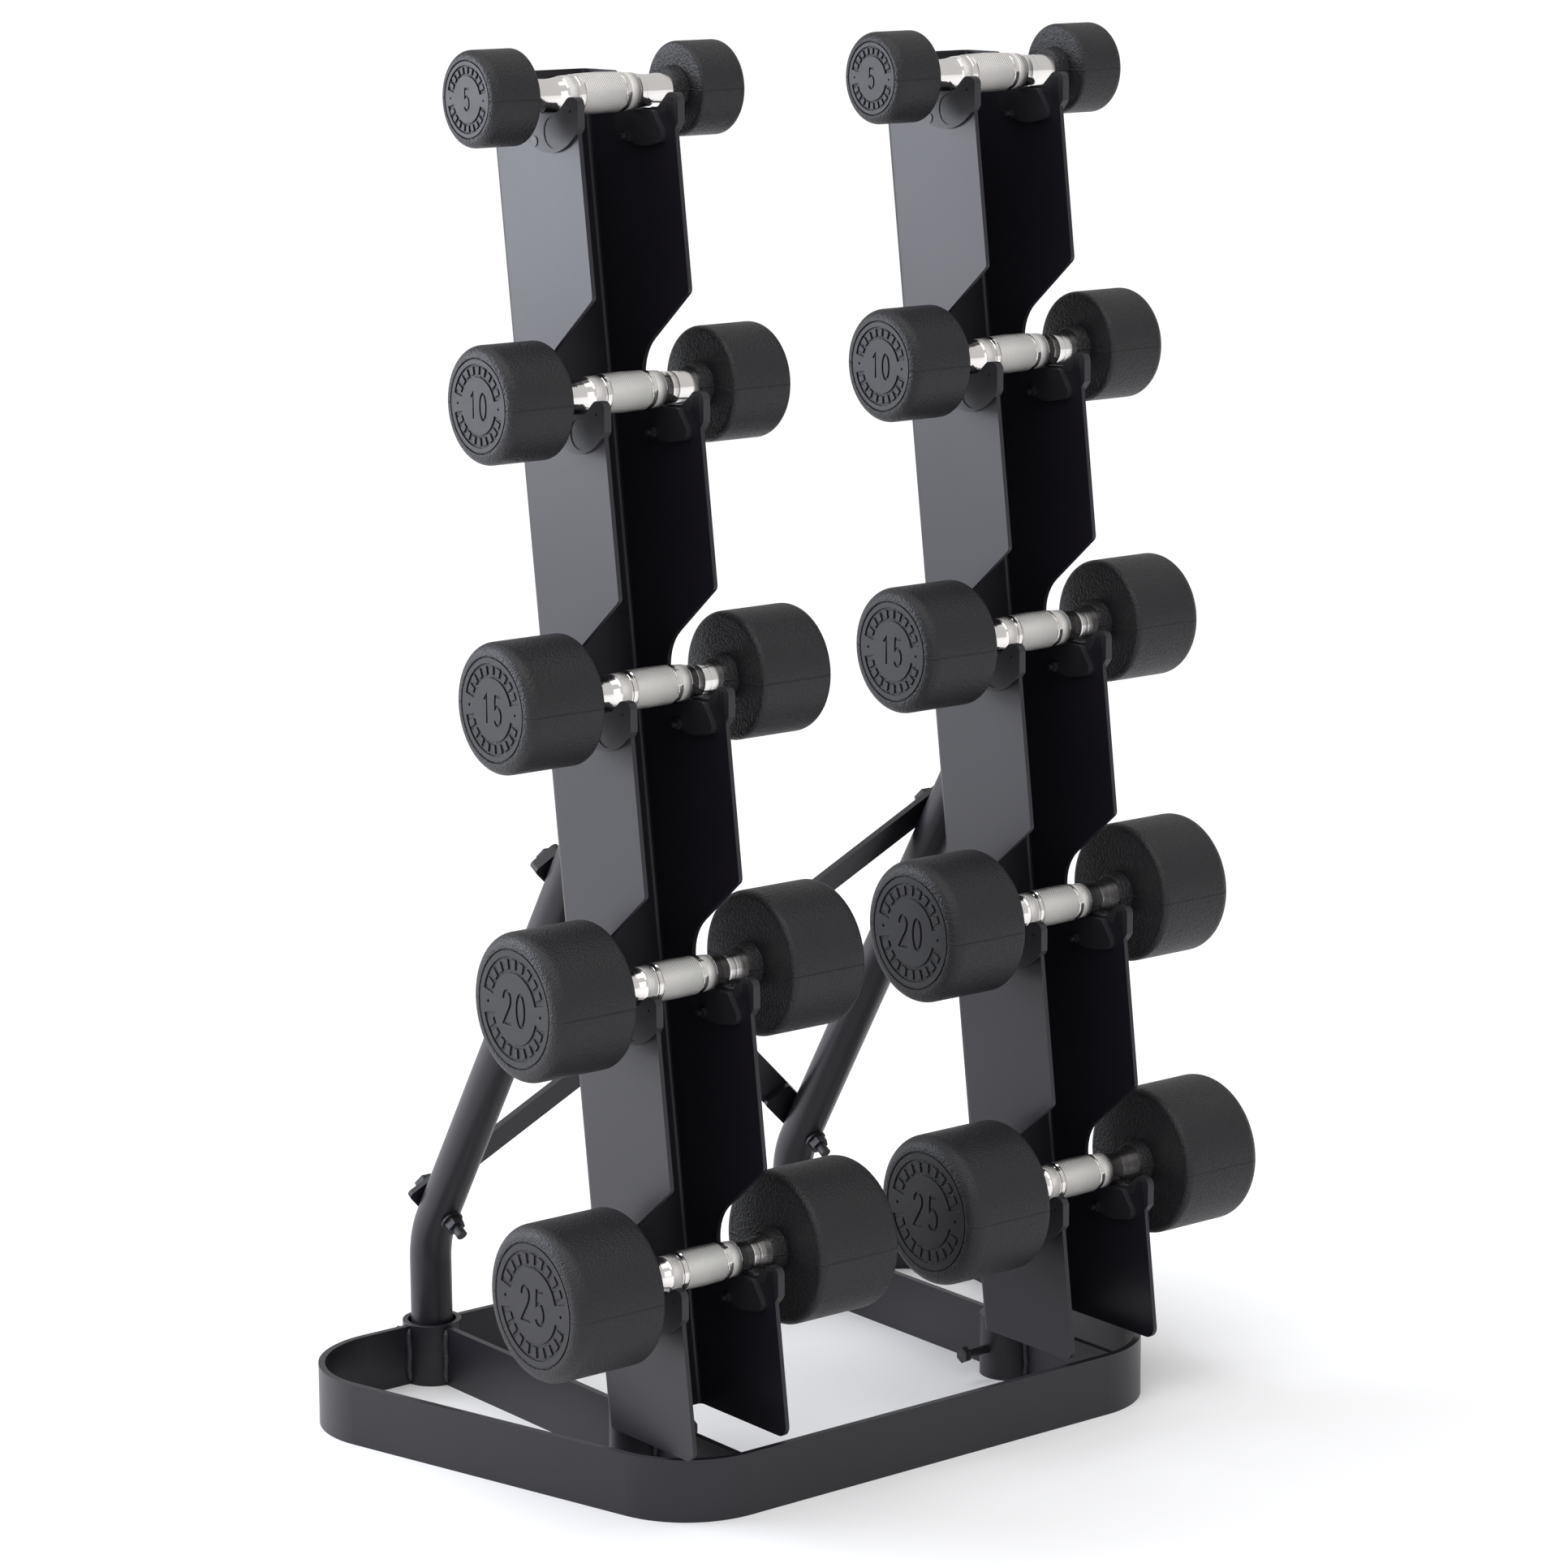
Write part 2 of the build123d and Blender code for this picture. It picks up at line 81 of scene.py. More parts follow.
MIDDLE_HALF = 0.0196  # half length of the flat of the middle sleeve
FLOOR_HALF = 60
SENSOR_WIDTH = 36  # millimetres
cad_low, cad_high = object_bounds()


# ---- sizes and colours ---------------------------------------------------------------------
class RackFinish(bpy.types.PropertyGroup):
    """Paint, plastic and hardware finishes."""
    coat_color: FloatVectorProperty(name="Powder coat", description="Colour of the steel frame",
                                    subtype="COLOR", size=3, min=0, max=1,
                                    default=(0.0090, 0.0078, 0.0120))
    coat_roughness: FloatProperty(name="Coat roughness", description="Satin of the powder coat",
                                  default=0.38, min=0, max=1, subtype="FACTOR")
    peel_depth: FloatProperty(name="Orange peel", description="Height of the coat's texture",
                              default=0.00006, min=0, max=0.001, unit="LENGTH")
    cradle_color: FloatVectorProperty(name="Cradle plastic", description="Colour of the moulded cradles",
                                      subtype="COLOR", size=3, min=0, max=1,
                                      default=(0.011, 0.0105, 0.0140))
    hardware_color: FloatVectorProperty(name="Hardware", description="Colour of bolts, nuts and screws",
                                        subtype="COLOR", size=3, min=0, max=1, default=(0.03, 0.03, 0.033))
    weld_radius: FloatProperty(name="Weld bead", description="Radius of a weld bead",
                               default=0.0026, min=0.0005, max=0.01, unit="LENGTH")
    weld_pitch: FloatProperty(name="Weld ripple", description="Distance from one weld ripple to the next",
                              default=0.0034, min=0.001, max=0.01, unit="LENGTH")


class RackDumbbells(bpy.types.PropertyGroup):
    """Urethane heads and steel handles."""
    urethane_color: FloatVectorProperty(name="Urethane", description="Colour of the heads",
                                        subtype="COLOR", size=3, min=0, max=1,
                                        default=(0.0075, 0.0072, 0.0090))
    pebble_size: FloatProperty(name="Pebble size", description="Width of one grain of the pebbled skin",
                               default=0.0019, min=0.0002, max=0.01, unit="LENGTH")
    pebble_depth: FloatProperty(name="Pebble depth", description="Height of the pebbled skin",
                                default=0.0010, min=0, max=0.003, unit="LENGTH")
    chrome_color: FloatVectorProperty(name="Chrome", description="Colour of the handles",
                                      subtype="COLOR", size=3, min=0, max=1, default=(0.87, 0.84, 0.82))
    knurl_pitch: FloatProperty(name="Knurl pitch", description="Distance between knurl grooves",
                               default=0.0016, min=0.0005, max=0.005, unit="LENGTH")
    knurl_depth: FloatProperty(name="Knurl depth", description="Depth of the knurl grooves",
                               default=0.0004, min=0, max=0.002, unit="LENGTH")
    face_land: FloatProperty(name="Badge thickness",
                             description="Height of the raised parts of the end faces",
                             default=0.0012, min=0.0001, max=0.003, unit="LENGTH")
    rib_count: IntProperty(name="Badge ribs", description="Raised ribs in each arc of the end face's band",
                           default=9, min=2, max=40)


class RackStage(bpy.types.PropertyGroup):
    """Floor, lights and camera."""
    camera_place: FloatVectorProperty(name="Camera", description="Where the camera stands",
                                      subtype="TRANSLATION", unit="LENGTH", size=3,
                                      default=(-2.5186, -3.2776, 1.4184))
    camera_yaw: FloatProperty(name="Heading", description="Turn to the right of straight ahead",
                              default=radians(37.981), subtype="ANGLE")
    camera_pitch: FloatProperty(name="Pitch", description="Tilt above level",
                                default=radians(-11.719), subtype="ANGLE")
    camera_roll: FloatProperty(name="Roll", description="Turn about the line of sight",
                               default=radians(-0.365), subtype="ANGLE")
    camera_lens: FloatProperty(name="Lens", description="Focal length", default=109.28, unit="CAMERA")
    floor_color: FloatVectorProperty(name="Floor", description="Colour of the floor",
                                     subtype="COLOR", size=3, min=0, max=1, default=(0.9, 0.9, 0.91))
    sky_strength: FloatProperty(name="Room light", description="Strength of the even room light",
                                default=0.65, min=0)
    sun_strength: FloatProperty(name="Overhead light", description="Strength of the soft overhead light",
                                default=2.0, min=0)
    key_power: FloatProperty(name="Key light", description="Power of the large light on the left",
                             default=100.0, min=0, unit="POWER")
    fill_power: FloatProperty(name="Fill light", description="Power of the light in front",
                              default=8.0, min=0, unit="POWER")


# ---- shader expressions --------------------------------------------------------------------
class Term:
    """A shader output; Python arithmetic on it adds Math nodes to its tree."""

    def __init__(self, graph, output):
        self.graph, self.output = graph, output

    def math(self, operation, *others):
        return self.graph.node("ShaderNodeMath", {"operation": operation}, dict(enumerate((self, *others))))

    def flip(self, operation, other):
        return self.graph.node("ShaderNodeMath", {"operation": operation}, {0: other, 1: self})

    def __add__(self, other):
        return self.math("ADD", other)

    def __radd__(self, other):
        return self.flip("ADD", other)

    def __sub__(self, other):
        return self.math("SUBTRACT", other)

    def __rsub__(self, other):
        return self.flip("SUBTRACT", other)

    def __mul__(self, other):
        return self.math("MULTIPLY", other)

    def __truediv__(self, other):
        return self.math("DIVIDE", other)

    def __abs__(self):
        return self.math("ABSOLUTE")

    def sin(self):
        return self.math("SINE")

    def ramp(self, low, high):
        """0 at low, 1 at high, held outside."""
        return self.graph.node("ShaderNodeMapRange", {"clamp": True},
                               {"Value": self, "From Min": low, "From Max": high})

    def axes(self):
        """X, Y and Z of a vector."""
        parts = self.graph.node("ShaderNodeSeparateXYZ", {}, {0: self}).output.node.outputs
        return [Term(self.graph, part) for part in parts]


class Finish:
    """A new material whose Principled shader is fed by expressions."""

    def __init__(self, name, color, roughness, **fixed):
        self.material = bpy.data.materials.new(name)
        self.material.use_nodes = True
        self.tree = self.material.node_tree
        self.shader = self.tree.nodes["Principled BSDF"]
        self.shader.inputs["Base Color"].default_value = (*color, 1)
        self.shader.inputs["Roughness"].default_value = roughness
        for socket, value in fixed.items():
            self.shader.inputs[socket.replace("_", " ")].default_value = value
        self.material.diffuse_color = (*color, 1)

    def node(self, kind, settings, values):
        """Adds a node, applies its settings, fills its sockets and returns its first live output."""
        node = self.tree.nodes.new(kind)
        for key, value in settings.items():
            setattr(node, key, value)
        for key, value in values.items():
            socket = node.inputs[key]
            if isinstance(value, Term):
                self.tree.links.new(value.output, socket)
            else:
                socket.default_value = value
        return Term(self, next(o for o in node.outputs if o.enabled))

    def place(self):
        return Term(self, self.tree.nodes.new("ShaderNodeTexCoord").outputs["Object"])

    def noise(self, scale, detail=2.0, rough=0.5):
        return self.node("ShaderNodeTexNoise", {},
                         {"Vector": self.place(), "Scale": scale, "Detail": detail, "Roughness": rough})

    def shade(self, factor, first, second):
        """Colour from first to second as factor goes from 0 to 1."""
        mix = self.tree.nodes.new("ShaderNodeMix")
        mix.data_type = "RGBA"
        self.tree.links.new(factor.output, mix.inputs["Factor"])
        mix.inputs[6].default_value, mix.inputs[7].default_value = (*first, 1), (*second, 1)
        return Term(self, mix.outputs[2])

    def feed(self, **links):
        for socket, term in links.items():
            self.tree.links.new(term.output, self.shader.inputs[socket.replace("_", " ")])

    def relief(self, height, depth, strength):
        self.feed(Normal=self.node("ShaderNodeBump", {},
                                   {"Height": height, "Distance": depth, "Strength": strength}))


def scaled(color, factor):
    return tuple(min(1.0, c * factor) for c in color)


def powder_coat(settings):
    finish = Finish("powder_coat", settings.coat_color, settings.coat_roughness, Specular_IOR_Level=0.42)
    cloud = finish.noise(7.0, 3.0)
    peel = finish.noise(650.0, 2.0)
    speck = finish.noise(2400.0, 1.0)
    finish.feed(Base_Color=finish.shade(cloud, scaled(settings.coat_color, 0.85),
                                        scaled(settings.coat_color, 1.2)),
                Roughness=settings.coat_roughness - 0.05 + cloud * 0.06 + peel * 0.05)
    finish.relief(peel * 0.8 + speck * 0.2, settings.peel_depth, 0.6)
    return finish.material


def cradle_plastic(settings):
    finish = Finish("cradle_plastic", settings.cradle_color, 0.45)
    grain = finish.noise(1900.0, 2.0)
    scuff = finish.noise(45.0, 4.0, 0.7)
    finish.feed(Base_Color=finish.shade(scuff.ramp(0.55, 0.8), settings.cradle_color,
                                        scaled(settings.cradle_color, 1.5)),
                Roughness=0.40 + grain * 0.08 + scuff * 0.08)
    finish.relief(grain, 0.00005, 0.5)
    return finish.material


def hardware_steel(settings):
    finish = Finish("hardware_steel", settings.hardware_color, 0.35, Metallic=0.6)
    wear = finish.noise(160.0, 4.0, 0.65)
    finish.feed(Base_Color=finish.shade(wear.ramp(0.5, 0.8), settings.hardware_color,
                                        scaled(settings.hardware_color, 2.4)),
                Roughness=0.28 + wear * 0.2)
    finish.relief(wear, 0.00006, 0.5)
    return finish.material


def pebbled_urethane(settings):
    """Pebbled skin with the faint seam that the mould leaves at the height of each handle."""
    finish = Finish("pebbled_urethane", settings.urethane_color, 0.5, Specular_IOR_Level=0.38)
    place = finish.place()
    grains = finish.node("ShaderNodeTexVoronoi", {"feature": "SMOOTH_F1"},
                         {"Vector": place, "Scale": 1 / settings.pebble_size, "Smoothness": 0.6})
    drift = finish.noise(320.0, 3.0)
    cloud = finish.noise(18.0, 3.0)
    low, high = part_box("grip_left_25"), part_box("grip_left_20")
    first = (low[0][2] + low[1][2]) / 2
    pitch = (high[0][2] + high[1][2]) / 2 - first
    height = (place.axes()[2] - first) / pitch + 0.5
    seam = 1 - abs(height.math("FRACT") - 0.5).ramp(0.0, SEAM_HALF_WIDTH / pitch)
    skin = (1 - grains) * 0.7 + drift * 0.5
    finish.feed(Base_Color=finish.shade(cloud, scaled(settings.urethane_color, 0.8),
                                        scaled(settings.urethane_color, 1.3)),
                Roughness=0.36 + grains * 0.2 + cloud * 0.08 + seam * 0.15)
    finish.relief(skin + seam * 0.9, settings.pebble_depth, 0.8)
    return finish.material


def smooth_urethane(settings):
    finish = Finish("smooth_urethane", scaled(settings.urethane_color, 1.1), 0.45, Specular_IOR_Level=0.34)
    cloud = finish.noise(60.0, 4.0)
    grain = finish.noise(1300.0, 2.0)
    finish.feed(Base_Color=finish.shade(cloud, scaled(settings.urethane_color, 0.95),
                                        scaled(settings.urethane_color, 1.3)),
                Roughness=0.40 + cloud * 0.1)
    finish.relief(grain, 0.00005, 0.5)
    return finish.material


def bright_chrome(settings):
    """Chrome with the fine lathe rings of a turned bar."""
    finish = Finish("bright_chrome", settings.chrome_color, 0.12, Metallic=1.0)
    x = finish.place().axes()[0]
    rings = finish.node("ShaderNodeTexNoise", {"noise_dimensions": "1D"},
                        {"W": x, "Scale": 2600.0, "Detail": 2.0})
    cloud = finish.noise(40.0, 3.0)
    finish.feed(Base_Color=finish.shade(cloud, scaled(settings.chrome_color, 0.92), settings.chrome_color),
                Roughness=0.07 + rings * 0.05 + cloud * 0.06)
    finish.relief(rings, 0.00002, 0.35)
    return finish.material


def knurled_chrome(settings, radius):
    """Two crossing sets of helical grooves round the X axis."""
    finish = Finish("knurled_chrome", settings.chrome_color, 0.3, Metallic=1.0)
    x, y, z = finish.place().axes()
    turns = round(2 * pi * radius / (settings.knurl_pitch * sqrt(2)))
    around = finish.node("ShaderNodeMath", {"operation": "ARCTAN2"}, {0: z, 1: y}) * turns
    along = x * (turns / radius)
    diamonds = abs(((around + along) * 0.5).sin()) * abs(((around - along) * 0.5).sin())
    wear = finish.noise(420.0, 3.0)
    # Painted shade: the base colour darkens towards the bottoms of the knurl grooves, where the bump height
    # is lowest.
    finish.feed(Base_Color=finish.shade(diamonds.ramp(0.0, 0.5), scaled(settings.chrome_color, 0.55),
                                        settings.chrome_color),
                Roughness=0.24 + wear * 0.14)
    finish.relief(diamonds, settings.knurl_depth, 0.9)
    return finish.material


# ---- helpers for pieces --------------------------------------------------------------------
def paint(node, material):
    """Gives every material slot of a CAD node one finish."""
    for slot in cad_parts[node].material_slots:
        slot.material = material


def new_object(name, mesh, material, smooth=True):
    mesh.materials.append(material)
    if smooth:
        mesh.shade_smooth()
    piece = bpy.data.objects.new(name, mesh)
    bpy.context.scene.collection.objects.link(piece)
    return piece


def middle(node):
    low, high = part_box(node)
    return (Vector(low) + Vector(high)) / 2


def lathe(name, profile, steps):
    """Closed band turned round the X axis from (x, r) points."""
    shell = bmesh.new()
    loops = []
    for x, r in profile:
        loops.append([shell.verts.new((x, r * cos(2 * pi * k / steps), r * sin(2 * pi * k / steps)))
                      for k in range(steps)])
    for first, second in zip(loops, loops[1:]):
        for k in range(steps):
            j = (k + 1) % steps
            shell.faces.new((first[k], first[j], second[j], second[k]))
    bmesh.ops.recalc_face_normals(shell, faces=shell.faces)
    mesh = bpy.data.meshes.new(name)
    shell.to_mesh(mesh)
    shell.free()
    return mesh


def weld_bead(shell, start, end, radius, pitch, seed):
    """One rippled bead of weld from start to end, added to an open bmesh."""
    start, end = Vector(start), Vector(end)
    run = end - start
    along = run.normalized()
    side = along.orthogonal().normalized()
    other = along.cross(side)
    count = max(6, int(run.length / pitch) * 4)
    loops = []
    for i in range(count + 1):
        t = i / count
        ripple = 1 + 0.16 * abs(sin(pi * t * run.length / pitch)) + 0.08 * sin(7.3 * t * pi + seed)
        taper = min(1.0, 0.35 + 8 * t, 0.35 + 8 * (1 - t))
        sway = (side * (0.25 * radius * sin(5 * t * pi + seed))
                + other * (0.2 * radius * cos(4 * t * pi + seed)))
        centre = start + run * t + sway
        loops.append([shell.verts.new(centre + (side * cos(a) + other * sin(a)) * radius * ripple * taper)
                      for a in (2 * pi * k / BEAD_SIDES for k in range(BEAD_SIDES))])
    for first, second in zip(loops, loops[1:]):
        for k in range(BEAD_SIDES):
            j = (k + 1) % BEAD_SIDES
            shell.faces.new((first[k], first[j], second[j], second[k]))
    shell.faces.new(loops[0][::-1])
    shell.faces.new(loops[-1])


def finished(operator, done):
    """Ends an operator; one with nothing done stops the script."""
    if not done:
        raise RuntimeError(f"{operator.bl_label} found nothing to work on")
    return {"FINISHED"}


# ---- operators -----------------------------------------------------------------------------
class RACK_OT_frame(bpy.types.Operator):
    """Powder coat on the columns, tubes, braces and floor loop, and finishes on hardware and caps"""
    bl_idname = "rack.frame"
    bl_label = "Frame finishes"

    def execute(self, context):
        settings = context.scene.rack_finish
        coat, steel, plastic = powder_coat(settings), hardware_steel(settings), cradle_plastic(settings)
        hardware = ("set_bolts", "brace_bolts", "brace_nuts", "saddle_screws")
        done = 0
        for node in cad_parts:
            if node.startswith(("grip", "heads")):
                continue
            if node.startswith("saddles") or node == "post_caps":
                paint(node, plastic)
            elif node in hardware:
                paint(node, steel)
            else:
                paint(node, coat)
            done += 1
        return finished(self, done)


class RACK_OT_welds(bpy.types.Operator):
    """Rippled weld beads where the floor bars meet the tube sockets"""
    bl_idname = "rack.welds"
    bl_label = "Weld beads"

    def execute(self, context):
        settings = context.scene.rack_finish
        coat = bpy.data.materials["powder_coat"]
        bar = (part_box("inner_bar_left")[1][0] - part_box("inner_bar_left")[0][0]) / 2
        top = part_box("base_loop")[1][2] - BEAD_TOP_GAP
        done = 0
        for side in SIDES:
            for place, bars in (("front", ((0, 1), (0, -1))), ("rear", ((0, -1), (1, 0), (-1, 0)))):
                socket = f"{place}_socket_{side}"
                centre = middle(socket)
                radius = (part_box(socket)[1][0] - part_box(socket)[0][0]) / 2
                shell = bmesh.new()
                for dx, dy in bars:
                    reach = sqrt(radius ** 2 - bar ** 2) + SOCKET_GAP
                    for turn in (-1, 1):
                        x = centre.x + dx * reach - turn * dy * (bar + BAR_GAP)
                        y = centre.y + dy * reach + turn * dx * (bar + BAR_GAP)
                        weld_bead(shell, (x, y, BEAD_FOOT), (x, y, top), settings.weld_radius,
                                  settings.weld_pitch, done)
                        done += 1
                bmesh.ops.recalc_face_normals(shell, faces=shell.faces)
                mesh = bpy.data.meshes.new(f"weld_{place}_{side}")
                shell.to_mesh(mesh)
                shell.free()
                piece = new_object(mesh.name, mesh, coat)
                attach(piece, "rack")
        return finished(self, done)


class RACK_OT_heads(bpy.types.Operator):
    """Pebbled urethane heads with ribbed bands and weight numbers on their end faces"""
    bl_idname = "rack.heads"
    bl_label = "Dumbbell heads"

    def execute(self, context):
        settings = context.scene.rack_dumbbells
        skin, land = pebbled_urethane(settings), smooth_urethane(settings)
        done = 0
        for weight in WEIGHTS:
            low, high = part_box(f"heads_left_{weight}")
            radius = (high[2] - low[2]) / 2
            badge = self.badge(weight, radius * BADGE_SHARE, settings)
            for side in SIDES:
                node = f"heads_{side}_{weight}"
                paint(node, skin)
                low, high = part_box(node)
                centre = middle(node)
                inset = FACE_RECESS - (settings.face_land - BADGE_SINK) / 2
                for end, x, turn in (("left_end", low[0] + inset, -90), ("right_end", high[0] - inset, 90)):
                    piece = new_object(f"badge_{side}_{weight}_{end}", badge.copy(), land, smooth=False)
                    piece.matrix_world = (Matrix.Translation((x, centre.y, centre.z))
                                          @ Euler((0, 0, radians(turn))).to_matrix().to_4x4()
                                          @ Euler((radians(90), 0, 0)).to_matrix().to_4x4())
                    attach(piece, f"dumbbell_{side}_{weight}")
                    done += 1
        return finished(self, done)

    def badge(self, weight, radius, settings):
        """Raised land of an end face, with a ribbed band in two sunk arcs, two dots and a sunk number."""
        curve = bpy.data.curves.new("badge_outline", "CURVE")
        curve.dimensions, curve.fill_mode = "2D", "BOTH"
        curve.extrude = (settings.face_land + BADGE_SINK) / 2 - BADGE_BEVEL
        curve.bevel_depth, curve.bevel_resolution, curve.offset = BADGE_BEVEL, 1, -BADGE_BEVEL

        def outline(points):
            spline = curve.splines.new("POLY")
            spline.points.add(len(points) - 1)
            for point, (x, y) in zip(spline.points, points):
                point.co = (x, y, 0, 1)
            spline.use_cyclic_u = True

        def sector(r_in, r_out, start, stop, steps):
            angles = [radians(start + (stop - start) * k / steps) for k in range(steps + 1)]
            return ([(r_out * cos(a), r_out * sin(a)) for a in angles]
                    + [(r_in * cos(a), r_in * sin(a)) for a in reversed(angles)])

        outline([(radius * cos(2 * pi * k / 96), radius * sin(2 * pi * k / 96)) for k in range(96)])
        inner, outer = BAND_INNER * radius, BAND_OUTER * radius
        for start, stop in BAND_ARCS:
            outline(sector(inner, outer, start, stop, 40))
            width = (stop - start) / (settings.rib_count + 0.5)
            for k in range(settings.rib_count):
                left = start + width * (k + 0.5)
                outline(sector(inner + 0.06 * radius, outer - 0.05 * radius,
                               left, left + width * RIB_WIDTH, 4))
        for x in (-DOT_PLACE * radius, DOT_PLACE * radius):
            outline([(x + DOT_RADIUS * radius * cos(2 * pi * k / 12),
                      DOT_RADIUS * radius * sin(2 * pi * k / 12)) for k in range(12)])
        for points in self.digits(str(weight), 0.56 * radius, 0.30 * radius):
            outline(points)
        holder = bpy.data.objects.new("badge_outline", curve)
        bpy.context.scene.collection.objects.link(holder)
        bpy.context.view_layer.update()
        mesh = bpy.data.meshes.new_from_object(holder)
        bpy.data.objects.remove(holder)
        return mesh

    def digits(self, text, height, width):
        """Closed outlines of the number's pen strokes, centred on the origin."""
        strokes = {
            "0": [[(0.5 + 0.38 * sin(2 * pi * k / 28), 0.5 + 0.5 * cos(2 * pi * k / 28))
                   for k in range(29)]],
            "1": [[(0.28, 0.80), (0.55, 1.0), (0.55, 0.0)]],
            "2": [[(0.12, 0.74), (0.17, 0.88), (0.30, 0.97), (0.48, 1.0), (0.66, 0.97), (0.80, 0.87),
                   (0.84, 0.73), (0.78, 0.58), (0.62, 0.42), (0.38, 0.22), (0.12, 0.0), (0.88, 0.0)]],
            "5": [[(0.80, 1.0), (0.24, 1.0), (0.18, 0.56), (0.32, 0.63), (0.50, 0.65), (0.70, 0.59),
                   (0.84, 0.44), (0.86, 0.28), (0.78, 0.11), (0.62, 0.02), (0.44, 0.0), (0.26, 0.03),
                   (0.12, 0.14)]],
        }
        gap, pen = width * 0.28, height * 0.045
        total = len(text) * width + (len(text) - 1) * gap
        found = []
        for k, digit in enumerate(text):
            left = k * (width + gap) - total / 2
            for stroke in strokes[digit]:
                path = [Vector((left + x * width, (y - 0.5) * height)) for x, y in stroke]
                found += self.pen_outline(path, pen, digit == "0")
        return found

    def pen_outline(self, path, pen, closed):
        """The outline of a pen stroke along a path: two rings for a closed path, one for an open one."""
        sides = ([], [])
        last = len(path) - 1
        for i, point in enumerate(path):
            before = path[i - 1] if i else (path[-2] if closed else point)
            after = path[i + 1] if i < last else (path[1] if closed else point)
            way_in = (point - before).normalized() if point != before else (after - point).normalized()
            way_out = (after - point).normalized() if after != point else way_in
            across = Vector((-(way_in + way_out).y, (way_in + way_out).x)).normalized()
            across *= pen / max(0.45, across.dot(Vector((-way_in.y, way_in.x))))
            sides[0].append(point + across)
            sides[1].append(point - across)
        if closed:
            return [sides[0][:-1], sides[1][:-1]]
        return [sides[0] + sides[1][::-1]]


class RACK_OT_grips(bpy.types.Operator):
    """Chromed handles with knurled sleeves over the middle swelling"""
    bl_idname = "rack.grips"
    bl_label = "Dumbbell handles"

    def execute(self, context):
        settings = context.scene.rack_dumbbells
        chrome = bright_chrome(settings)
        radius, lift = GRIP_RADIUS, KNURL_LIFT
        knurl = knurled_chrome(settings, radius)
        # (distance along the handle, radius) from end to end of each sleeve
        middle_band = [(-0.0201, radius - 0.0006), (-0.0199, radius - 0.0005 + lift)]
        middle_band += [(-MIDDLE_HALF + 2 * MIDDLE_HALF * k / 8,
                         radius + lift - 0.0005 * abs(-1 + k / 4)) for k in range(9)]
        middle_band += [(0.0199, radius - 0.0005 + lift), (0.0201, radius - 0.0006)]
        outer_band = [(0.0262, radius - 0.0014), (0.0264, radius - 0.0012 + lift - 0.00004),
                      (0.0360, radius - 0.0017 + lift), (0.0362, radius - 0.0019)]
        done = 0
        for side in SIDES:
            for weight in WEIGHTS:
                node = f"grip_{side}_{weight}"
                paint(node, chrome)
                centre = middle(node)
                for name, band in (("middle", middle_band), ("right", outer_band),
                                   ("left", [(-x, r) for x, r in outer_band])):
                    mesh = lathe(f"knurl_{name}_{side}_{weight}", band, KNURL_STEPS)
                    piece = new_object(mesh.name, mesh, knurl)
                    piece.location = centre
                    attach(piece, f"dumbbell_{side}_{weight}")
                done += 1
        return finished(self, done)


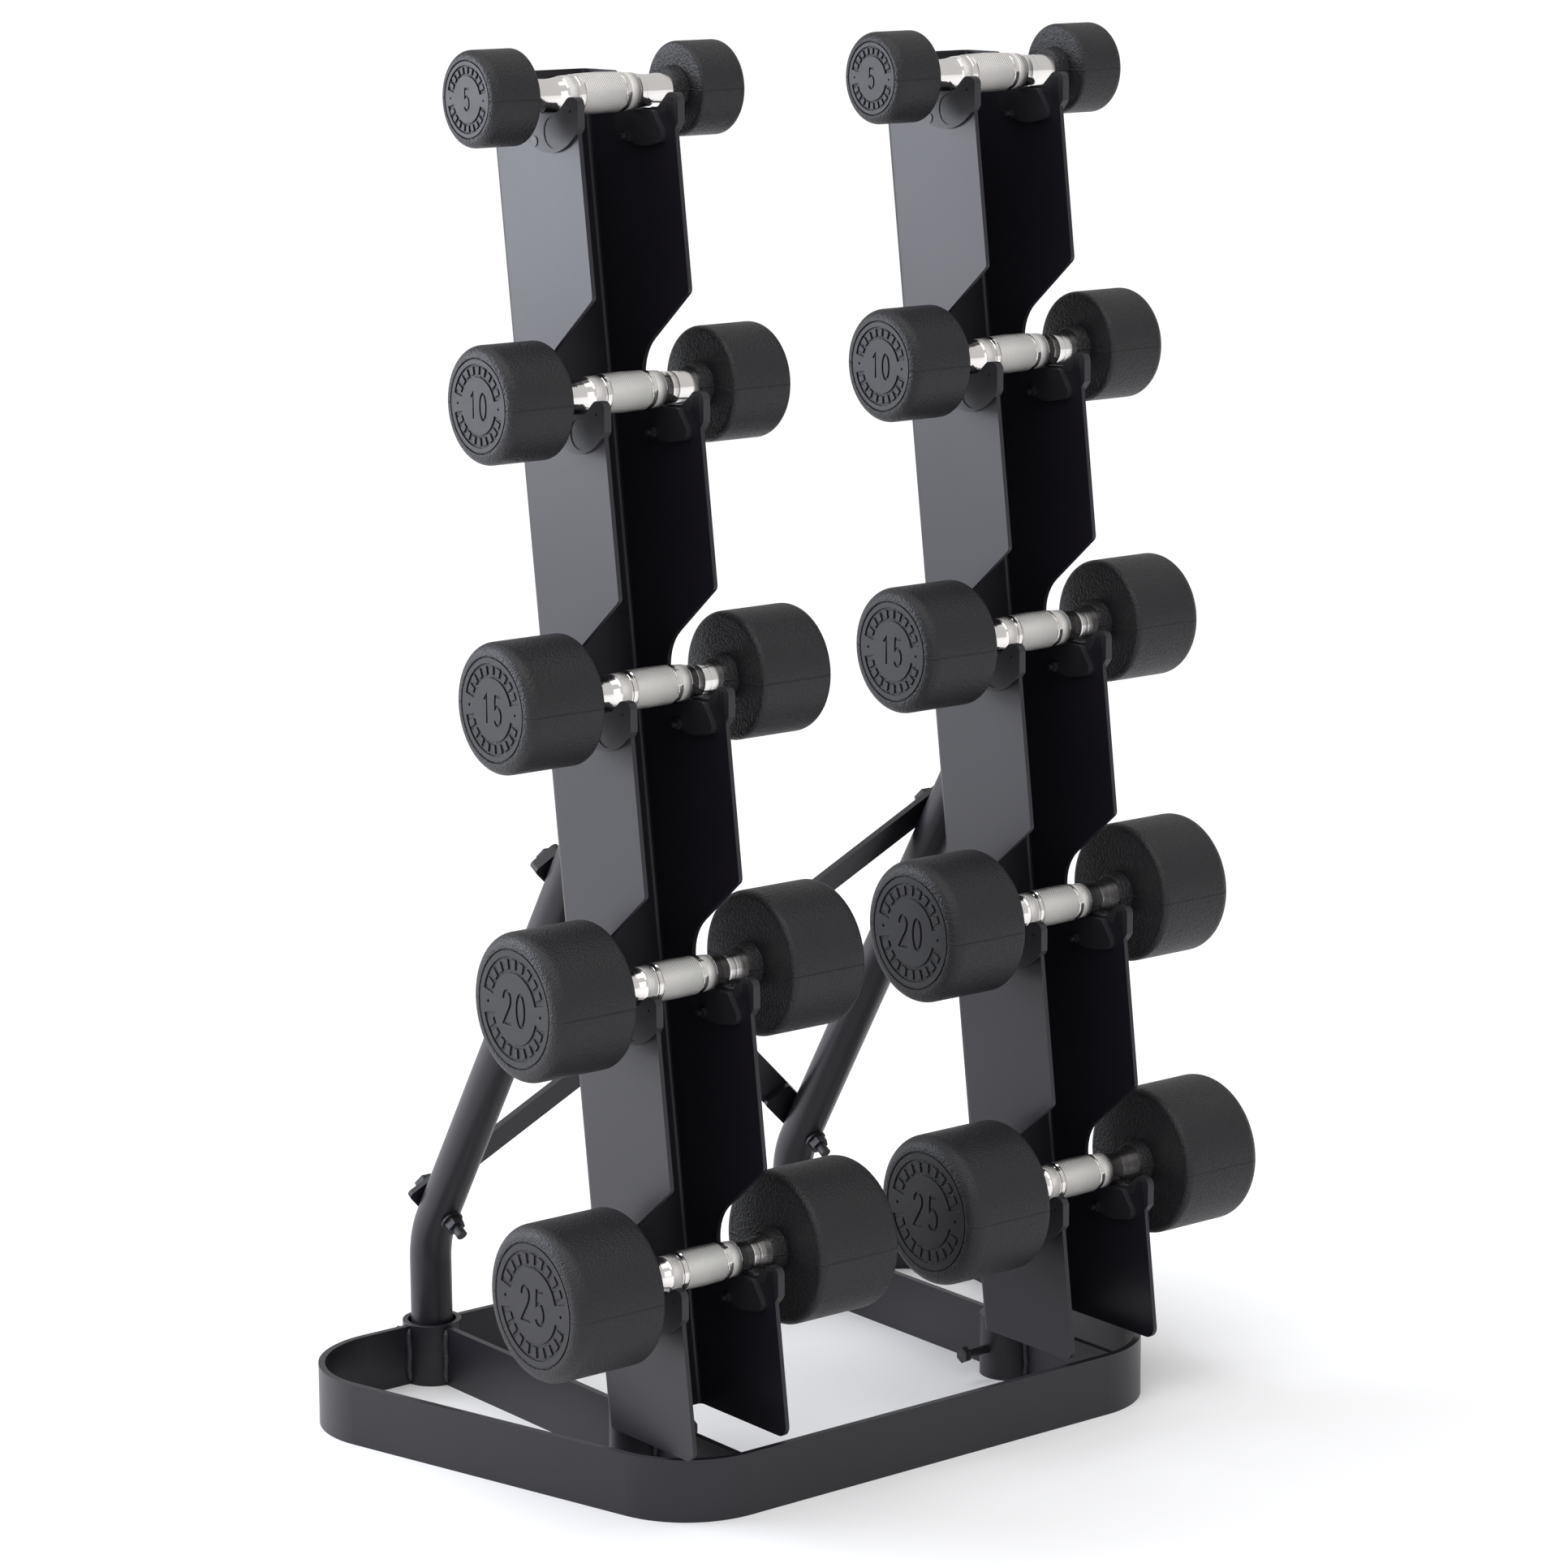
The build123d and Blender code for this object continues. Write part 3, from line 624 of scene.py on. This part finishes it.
class RACK_OT_stage(bpy.types.Operator):
    """Pale floor, soft lights and the camera"""
    bl_idname = "rack.stage"
    bl_label = "Stage"

    def execute(self, context):
        settings = context.scene.rack_stage
        self.floor(settings)
        self.lights(context, settings)
        self.camera(context, settings)
        return finished(self, context.scene.camera)

    def floor(self, settings):
        finish = Finish("pale_floor", settings.floor_color, 0.55, Specular_IOR_Level=0.3)
        tone = finish.noise(3.0, 2.0)
        finish.feed(Base_Color=finish.shade(tone, scaled(settings.floor_color, 0.99), settings.floor_color))
        ground = bmesh.new()
        bmesh.ops.create_grid(ground, x_segments=4, y_segments=4, size=FLOOR_HALF)
        mesh = bpy.data.meshes.new("floor")
        ground.to_mesh(mesh)
        ground.free()
        floor = new_object("floor", mesh, finish.material)
        floor.location.z = cad_low[2]

    def lights(self, context, settings):
        world = bpy.data.worlds.new("room")
        world.use_nodes = True
        room = world.node_tree.nodes["Background"]
        room.inputs["Color"].default_value = (1, 1, 1, 1)
        room.inputs["Strength"].default_value = settings.sky_strength
        context.scene.world = world
        context.scene.view_settings.view_transform = "Standard"
        target = Vector((0, 0, (cad_low[2] + cad_high[2]) / 2))

        def lamp(name, kind, place, power, **shape):
            light = bpy.data.lights.new(name, kind)
            light.energy = power
            for key, value in shape.items():
                setattr(light, key, value)
            holder = bpy.data.objects.new(name, light)
            holder.location = place
            holder.visible_camera = False
            holder.rotation_euler = (target - Vector(place)).to_track_quat("-Z", "Y").to_euler()
            context.scene.collection.objects.link(holder)

        lamp("overhead", "SUN", (-1.2, -0.6, 4.0), settings.sun_strength, angle=radians(80))
        lamp("key", "AREA", (-2.3, 2.3, 1.45), settings.key_power, shape="RECTANGLE", size=2.0, size_y=2.0,
             color=(0.86, 0.90, 1.0))
        lamp("fill", "AREA", (0.5, -4.0, 1.6), settings.fill_power, shape="RECTANGLE", size=1.2, size_y=2.4)

    def camera(self, context, settings):
        yaw, pitch, roll = settings.camera_yaw, settings.camera_pitch, settings.camera_roll
        look = Vector((sin(yaw) * cos(pitch), cos(yaw) * cos(pitch), sin(pitch)))
        level = Vector((cos(yaw), -sin(yaw), 0))
        upright = level.cross(look)
        right = level * cos(roll) + upright * sin(roll)
        up = upright * cos(roll) - level * sin(roll)
        turn = Matrix((right, up, -look)).transposed().to_4x4()
        lens = bpy.data.cameras.new("camera")
        lens.sensor_width, lens.lens = SENSOR_WIDTH, settings.camera_lens
        lens.clip_start, lens.clip_end = 0.05, 200
        holder = bpy.data.objects.new("camera", lens)
        holder.matrix_world = Matrix.Translation(settings.camera_place) @ turn
        context.scene.collection.objects.link(holder)
        context.scene.camera = holder


# ---- panel and registration ----------------------------------------------------------------
OPERATORS = (RACK_OT_frame, RACK_OT_welds, RACK_OT_heads, RACK_OT_grips, RACK_OT_stage)


class RACK_PT_panel(bpy.types.Panel):
    """The rack's steps and settings"""
    bl_idname = "RACK_PT_panel"
    bl_label = "Dumbbell Rack"
    bl_space_type = "VIEW_3D"
    bl_region_type = "UI"
    bl_category = "Dumbbell Rack"

    def draw(self, context):
        for operator in OPERATORS:
            self.layout.operator(operator.bl_idname)
        for group in (context.scene.rack_finish, context.scene.rack_dumbbells, context.scene.rack_stage):
            box = self.layout.box()
            for name in type(group).__annotations__:
                box.prop(group, name)


GROUPS = {"rack_finish": RackFinish, "rack_dumbbells": RackDumbbells, "rack_stage": RackStage}


def register():
    for cls in (*GROUPS.values(), *OPERATORS, RACK_PT_panel):
        bpy.utils.register_class(cls)
    for name, group in GROUPS.items():
        setattr(bpy.types.Scene, name, PointerProperty(type=group))


def unregister():
    for name in GROUPS:
        delattr(bpy.types.Scene, name)
    for cls in reversed((*GROUPS.values(), *OPERATORS, RACK_PT_panel)):
        bpy.utils.unregister_class(cls)


def main():
    register()
    bpy.ops.rack.frame()
    bpy.ops.rack.welds()
    bpy.ops.rack.heads()
    bpy.ops.rack.grips()
    bpy.ops.rack.stage()


if __name__ == "__main__":
    main()
